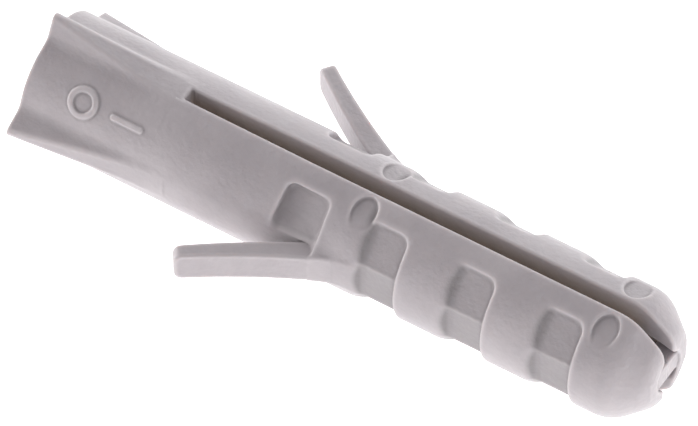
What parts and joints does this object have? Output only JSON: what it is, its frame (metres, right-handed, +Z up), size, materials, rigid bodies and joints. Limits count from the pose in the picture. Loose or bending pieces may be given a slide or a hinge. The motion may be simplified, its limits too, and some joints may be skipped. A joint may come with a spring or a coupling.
{
  "type": "wall anchor",
  "caption": "Light grey nylon expansion plug with a ribbed neck, a slotted toothed body that spreads, and curved side tongues that lock it in a drilled hole.",
  "frame": {"origin": "centre of the head face, in the mouth of the drilled hole", "axes": "+X along the plug, the way it goes into the wall; +Z up through the slot; Y across the slot, with the left leg on -Y"},
  "size_m": [0.025, 0.0104, 0.0064],
  "materials": {
    "nylon": "satin moulded nylon"
  },
  "bodies": {
    "neck": {"neck_sleeve": "nylon"},
    "leg_left": {"expansion_leg_left": "nylon"},
    "leg_right": {"expansion_leg_right": "nylon"},
    "tongue_left": {"locking_tongue_left": "nylon"},
    "tongue_right": {"locking_tongue_right": "nylon"}
  },
  "joints": [
    {"name": "leg_left_spread", "type": "hinge", "parent": "neck", "child": "leg_left", "pos_m": [0.0055, -0.00242, 0], "axis": [0, 0, -1], "range_deg": [0, 2.5], "stiffness_Nm_per_rad": 0.1},
    {"name": "leg_right_spread", "type": "hinge", "parent": "neck", "child": "leg_right", "pos_m": [0.0055, 0.00242, 0], "axis": [0, 0, 1], "range_deg": [0, 2.5], "stiffness_Nm_per_rad": 0.1},
    {"name": "tongue_left_fold", "type": "hinge", "parent": "leg_left", "child": "tongue_left", "pos_m": [0.01208, -0.0024, 0], "axis": [0, 0, -1], "range_deg": [-8, 14], "stiffness_Nm_per_rad": 0.01},
    {"name": "tongue_right_fold", "type": "hinge", "parent": "leg_right", "child": "tongue_right", "pos_m": [0.01208, 0.0024, 0], "axis": [0, 0, 1], "range_deg": [-8, 14], "stiffness_Nm_per_rad": 0.01}
  ],
  "couplings": [
    {"joint": "leg_right_spread", "follows": "leg_left_spread", "ratio": 1}
  ]
}
